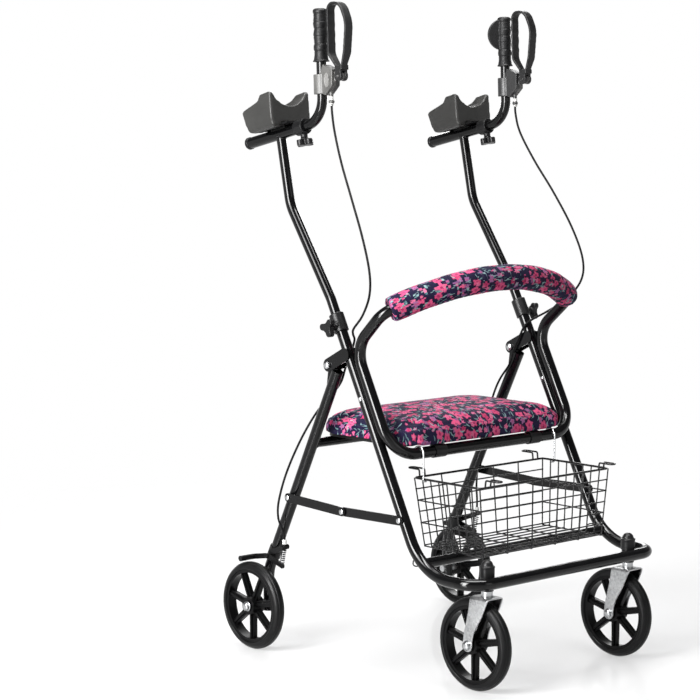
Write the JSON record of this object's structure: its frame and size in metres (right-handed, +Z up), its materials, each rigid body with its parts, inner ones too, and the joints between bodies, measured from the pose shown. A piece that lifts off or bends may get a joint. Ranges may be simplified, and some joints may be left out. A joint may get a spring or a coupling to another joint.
{
  "type": "upright walker",
  "caption": "Folding upright walker with forearm troughs on telescoping posts, loop brakes, padded seat and backrest, wire basket and spoked wheels.",
  "frame": {"origin": "On the floor, in the middle of the wheelbase and of the width.", "axes": "+Z up, +X to the user's left, and the user walks towards -Y."},
  "size_m": [0.7188, 0.8, 1.4518],
  "materials": {
    "frame_black": "gloss black powder coat",
    "print_fabric": "navy woven fabric with a flower print",
    "black_plastic": "moulded black plastic",
    "black_steel": "black coated steel",
    "zinc_hardware": "bright zinc plate",
    "zinc_fork": "bright zinc plated pressing",
    "dark_spring": "oiled spring steel",
    "board": "black moulded board",
    "wheel_plastic": "black moulded nylon",
    "tyre_rubber": "solid black tyre",
    "trough_foam": "moulded dark grey foam skin",
    "grip_rubber": "soft black grip",
    "housing_grey": "dark grey moulded plastic",
    "lever_black": "black moulded plastic",
    "cable_black": "black cable sheath",
    "basket_wire": "black coated wire"
  },
  "bodies": {
    "front_frame": {"leg_loop_tube": "frame_black", "lower_crossbar": "frame_black", "stem_sleeves": "frame_black", "stem_caps": "black_plastic", "pivot_brackets": "frame_black", "seat_frame_tube": "frame_black", "backrest_tube": "frame_black", "backrest_pad": "print_fabric", "height_collars": "black_plastic", "frame_bolts": "zinc_hardware", "basket_floor": "basket_wire", "basket_front": "basket_wire", "basket_rear": "basket_wire", "basket_ends": "basket_wire", "basket_hangers": "zinc_hardware", "brake_cable_left": "cable_black", "brake_cable_right": "cable_black"},
    "rear_frame": {"rear_legs": "frame_black", "rear_crossbar": "frame_black", "rear_bolts": "zinc_hardware", "brake_brackets": "black_steel", "brake_springs": "dark_spring"},
    "seat": {"seat_board": "board", "seat_pad": "print_fabric"},
    "front_strut": {"front_links": "frame_black"},
    "rear_strut": {"rear_links": "frame_black"},
    "arm_left": {"arm_post_left": "frame_black", "arm_fittings_left": "black_plastic", "trough_plate_left": "black_plastic", "trough_pad_left": "trough_foam"},
    "height_knob_left": {"height_knob_left": "black_plastic"},
    "arm_knob_left": {"arm_knob_left": "black_plastic"},
    "handle_left": {"handle_tube_left": "frame_black", "hand_grip_left": "grip_rubber", "brake_housing_left": "housing_grey"},
    "brake_lever_left": {"brake_lever_left": "lever_black"},
    "brake_arm_left": {"brake_arm_left": "black_steel"},
    "caster_left": {"caster_fork_left": "zinc_fork", "caster_bolts_left": "zinc_hardware"},
    "caster_wheel_left": {"caster_wheel_left": "wheel_plastic", "caster_tyre_left": "tyre_rubber"},
    "rear_wheel_left": {"rear_wheel_left": "wheel_plastic", "rear_tyre_left": "tyre_rubber"},
    "arm_right": {"arm_post_right": "frame_black", "arm_fittings_right": "black_plastic", "trough_plate_right": "black_plastic", "trough_pad_right": "trough_foam"},
    "height_knob_right": {"height_knob_right": "black_plastic"},
    "arm_knob_right": {"arm_knob_right": "black_plastic"},
    "handle_right": {"handle_tube_right": "frame_black", "hand_grip_right": "grip_rubber", "brake_housing_right": "housing_grey"},
    "brake_lever_right": {"brake_lever_right": "lever_black"},
    "brake_arm_right": {"brake_arm_right": "black_steel"},
    "caster_right": {"caster_fork_right": "zinc_fork", "caster_bolts_right": "zinc_hardware"},
    "caster_wheel_right": {"caster_wheel_right": "wheel_plastic", "caster_tyre_right": "tyre_rubber"},
    "rear_wheel_right": {"rear_wheel_right": "wheel_plastic", "rear_tyre_right": "tyre_rubber"}
  },
  "joints": [
    {"name": "frame_fold", "type": "hinge", "parent": "front_frame", "child": "rear_frame", "pos_m": [0, 0.078, 0.666], "axis": [-1, 0, 0], "range_deg": [0, 50], "deforming": ["brake_cable_left", "brake_cable_right"]},
    {"name": "seat_lift", "type": "hinge", "parent": "front_frame", "child": "seat", "pos_m": [0, -0.10969, 0.483], "axis": [1, 0, 0], "range_deg": [0, 82]},
    {"name": "front_strut_turn", "type": "hinge", "parent": "front_frame", "child": "front_strut", "pos_m": [0, -0.14793, 0.352], "axis": [1, 0, 0], "range_deg": [0, 93]},
    {"name": "rear_strut_turn", "type": "hinge", "parent": "rear_frame", "child": "rear_strut", "pos_m": [0, 0.21054, 0.356], "axis": [-1, 0, 0], "range_deg": [0, 20]},
    {"name": "arm_height_left", "type": "slide", "parent": "front_frame", "child": "arm_left", "axis": [0, 0.454, 0.891], "range_m": [-0.03, 0.1], "deforming": ["brake_cable_left"]},
    {"name": "height_knob_turn_left", "type": "hinge", "parent": "front_frame", "child": "height_knob_left", "pos_m": [0.288, 0.05524, 0.75074], "axis": [1, 0, 0], "range_deg": [-180, 180]},
    {"name": "arm_knob_turn_left", "type": "hinge", "parent": "arm_left", "child": "arm_knob_left", "pos_m": [0.288, 0.1778, 1.18362], "axis": [0, -0.2028, -0.9792], "range_deg": [-180, 180]},
    {"name": "handle_reach_left", "type": "slide", "parent": "arm_left", "child": "handle_left", "axis": [0, -0.9792, 0.2028], "range_m": [0, 0.05], "deforming": ["brake_cable_left"]},
    {"name": "brake_squeeze_left", "type": "hinge", "parent": "handle_left", "child": "brake_lever_left", "pos_m": [0.288, 0.052, 1.29286], "axis": [-1, 0, 0], "range_deg": [0, 6], "stiffness_Nm_per_rad": 2},
    {"name": "brake_press_left", "type": "hinge", "parent": "rear_frame", "child": "brake_arm_left", "pos_m": [0.288, 0.28, 0.214], "axis": [-1, 0, 0], "range_deg": [0, 2.4], "deforming": ["brake_springs", "brake_cable_left"]},
    {"name": "caster_swivel_left", "type": "hinge", "parent": "front_frame", "child": "caster_left", "pos_m": [0.2245, -0.333, 0.204], "axis": [0, 0, 1], "continuous": true},
    {"name": "caster_roll_left", "type": "hinge", "parent": "caster_left", "child": "caster_wheel_left", "pos_m": [0.2245, -0.3, 0.1], "axis": [1, 0, 0], "continuous": true},
    {"name": "rear_roll_left", "type": "hinge", "parent": "rear_frame", "child": "rear_wheel_left", "pos_m": [0.334, 0.3, 0.1], "axis": [1, 0, 0], "continuous": true},
    {"name": "arm_height_right", "type": "slide", "parent": "front_frame", "child": "arm_right", "axis": [0, 0.454, 0.891], "range_m": [-0.03, 0.1], "deforming": ["brake_cable_right"]},
    {"name": "height_knob_turn_right", "type": "hinge", "parent": "front_frame", "child": "height_knob_right", "pos_m": [-0.288, 0.05524, 0.75074], "axis": [-1, 0, 0], "range_deg": [-180, 180]},
    {"name": "arm_knob_turn_right", "type": "hinge", "parent": "arm_right", "child": "arm_knob_right", "pos_m": [-0.288, 0.1778, 1.18362], "axis": [0, -0.2028, -0.9792], "range_deg": [-180, 180]},
    {"name": "handle_reach_right", "type": "slide", "parent": "arm_right", "child": "handle_right", "axis": [0, -0.9792, 0.2028], "range_m": [0, 0.05], "deforming": ["brake_cable_right"]},
    {"name": "brake_squeeze_right", "type": "hinge", "parent": "handle_right", "child": "brake_lever_right", "pos_m": [-0.288, 0.052, 1.29286], "axis": [-1, 0, 0], "range_deg": [0, 6], "stiffness_Nm_per_rad": 2},
    {"name": "brake_press_right", "type": "hinge", "parent": "rear_frame", "child": "brake_arm_right", "pos_m": [-0.288, 0.28, 0.214], "axis": [-1, 0, 0], "range_deg": [0, 2.4], "deforming": ["brake_springs", "brake_cable_right"]},
    {"name": "caster_swivel_right", "type": "hinge", "parent": "front_frame", "child": "caster_right", "pos_m": [-0.2245, -0.333, 0.204], "axis": [0, 0, 1], "continuous": true},
    {"name": "caster_roll_right", "type": "hinge", "parent": "caster_right", "child": "caster_wheel_right", "pos_m": [-0.2245, -0.3, 0.1], "axis": [1, 0, 0], "continuous": true},
    {"name": "rear_roll_right", "type": "hinge", "parent": "rear_frame", "child": "rear_wheel_right", "pos_m": [-0.334, 0.3, 0.1], "axis": [1, 0, 0], "continuous": true}
  ],
  "couplings": [
    {"joint": "seat_lift", "follows": "frame_fold", "ratio": 1.6},
    {"joint": "front_strut_turn", "follows": "frame_fold", "ratio": 1.83},
    {"joint": "rear_strut_turn", "follows": "frame_fold", "ratio": 0.366},
    {"joint": "brake_press_left", "follows": "brake_squeeze_left", "ratio": 0.38},
    {"joint": "brake_press_right", "follows": "brake_squeeze_right", "ratio": 0.38}
  ]
}
